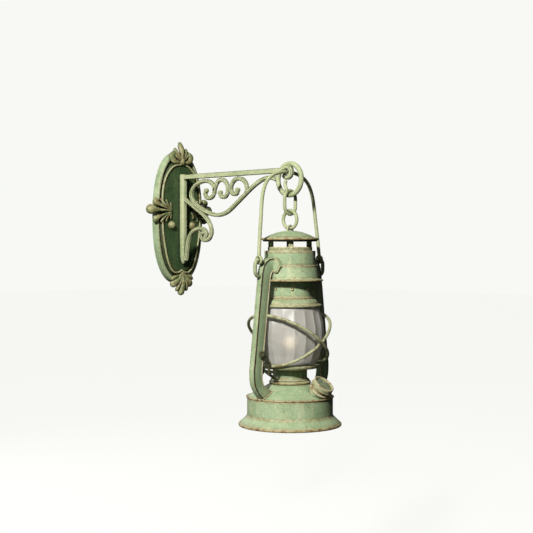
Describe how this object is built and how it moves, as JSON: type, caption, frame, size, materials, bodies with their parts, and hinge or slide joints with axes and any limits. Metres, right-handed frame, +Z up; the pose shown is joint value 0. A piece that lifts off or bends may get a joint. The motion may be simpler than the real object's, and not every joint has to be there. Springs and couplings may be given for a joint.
{
  "type": "oil lamp",
  "caption": "Hurricane oil lamp with a fluted globe, hung by a chain and wire bail from a scrolled wrought-iron wall bracket with an oval plate.",
  "frame": {"origin": "centre of the wall plate's back face, on the wall", "axes": "+X out of the wall along the arm, +Z up, +Y completes a right-handed frame"},
  "size_m": [0.3052, 0.1522, 0.4052],
  "materials": {
    "green_paint": "worn satin",
    "dark_green_paint": "worn satin",
    "gilded_leaf_paint": "worn satin",
    "globe_glass": "frosted, fluted",
    "plain_steel": "tarnished",
    "brass": "tarnished",
    "wick_cotton": "woven",
    "seal_rubber": "matte"
  },
  "bodies": {
    "bracket": {"wall_plate": "dark_green_paint", "top_leaf": "gilded_leaf_paint", "bottom_leaf": "gilded_leaf_paint", "left_leaf": "gilded_leaf_paint", "right_leaf": "gilded_leaf_paint", "cap_nuts": "green_paint", "post_bar": "green_paint", "bar_screws": "plain_steel", "arm_bar": "green_paint", "arm_curl": "green_paint", "brace_scroll": "green_paint", "middle_curl": "green_paint", "right_curl": "green_paint", "lower_scroll": "green_paint", "hook_scroll": "green_paint", "hanger_ring": "green_paint"},
    "hook_link": {"hook_link": "green_paint"},
    "round_link": {"round_link": "green_paint"},
    "lantern": {"canopy_eye": "green_paint", "canopy": "green_paint", "canopy_posts": "green_paint", "crown_collar": "green_paint", "crown_drum": "green_paint", "crown_skirt": "green_paint", "inner_chimney": "plain_steel", "chimney_struts": "plain_steel", "left_tube": "green_paint", "left_tube_collar": "green_paint", "left_ear": "green_paint", "right_tube": "green_paint", "right_tube_collar": "green_paint", "right_ear": "green_paint", "guard_wire_a": "green_paint", "guard_wire_b": "green_paint", "burner_body": "green_paint", "flame_cone": "brass", "wick_tube": "brass", "fount_shoulder": "green_paint", "fount_wall": "green_paint", "fount_bottom": "green_paint", "filler_neck": "green_paint", "lever_rivet": "green_paint"},
    "bail": {"bail": "green_paint"},
    "globe_carriage": {"neck": "green_paint", "globe_holder": "green_paint", "neck_rivets": "brass", "globe": "globe_glass", "globe_plate": "green_paint"},
    "lift_lever": {"lift_lever": "green_paint"},
    "wick_drive": {"wick_shaft": "brass", "wick_knob": "brass"},
    "wick": {"wick": "wick_cotton"},
    "cap_gasket": {"filler_gasket": "seal_rubber"},
    "filler_cap": {"filler_cap": "green_paint"}
  },
  "joints": [
    {"name": "hook_swing", "type": "hinge", "parent": "bracket", "child": "hook_link", "pos_m": [0.235, 0, 0.0265], "axis": [1, 0, 0], "range_deg": [-5, 5]},
    {"name": "link_swing", "type": "hinge", "parent": "hook_link", "child": "round_link", "pos_m": [0.235, 0, 0.0001], "axis": [0, 1, 0], "range_deg": [-6, 6]},
    {"name": "lantern_sway", "type": "hinge", "parent": "round_link", "child": "lantern", "pos_m": [0.235, 0, -0.0196], "axis": [1, 0, 0], "range_deg": [-3, 3]},
    {"name": "bail_swing", "type": "hinge", "parent": "lantern", "child": "bail", "pos_m": [0.235, 0, -0.0623], "axis": [0, 1, 0], "range_deg": [-3.6, 3.6]},
    {"name": "globe_lift", "type": "slide", "parent": "lantern", "child": "globe_carriage", "axis": [0, 0, 1], "range_m": [0, 0.006]},
    {"name": "lever_lift", "type": "hinge", "parent": "lantern", "child": "lift_lever", "pos_m": [0.235, -0.062, -0.189], "axis": [1, 0, 0], "range_deg": [0, 12.4]},
    {"name": "knob_turn", "type": "hinge", "parent": "lantern", "child": "wick_drive", "pos_m": [0.2316, 0, -0.219], "axis": [1, 0, 0], "range_deg": [-60, 80]},
    {"name": "wick_travel", "type": "slide", "parent": "lantern", "child": "wick", "axis": [0, 0, 1], "range_m": [-0.0047, 0.0062]},
    {"name": "cap_turn", "type": "hinge", "parent": "cap_gasket", "child": "filler_cap", "pos_m": [0.29015, 0.00585, -0.23135], "axis": [0.6246, 0.0767, 0.7771], "range_deg": [0, 720]},
    {"name": "cap_rise", "type": "slide", "parent": "lantern", "child": "cap_gasket", "axis": [0.6246, 0.0767, 0.7771], "range_m": [0, 0.0061]}
  ],
  "couplings": [
    {"joint": "bail_swing", "follows": "link_swing", "ratio": -0.4835},
    {"joint": "lever_lift", "follows": "globe_lift", "rad_per_m": 35.7},
    {"joint": "wick_travel", "follows": "knob_turn", "m_per_rad": 0.0044},
    {"joint": "cap_rise", "follows": "cap_turn", "m_per_rad": 0.00048}
  ]
}
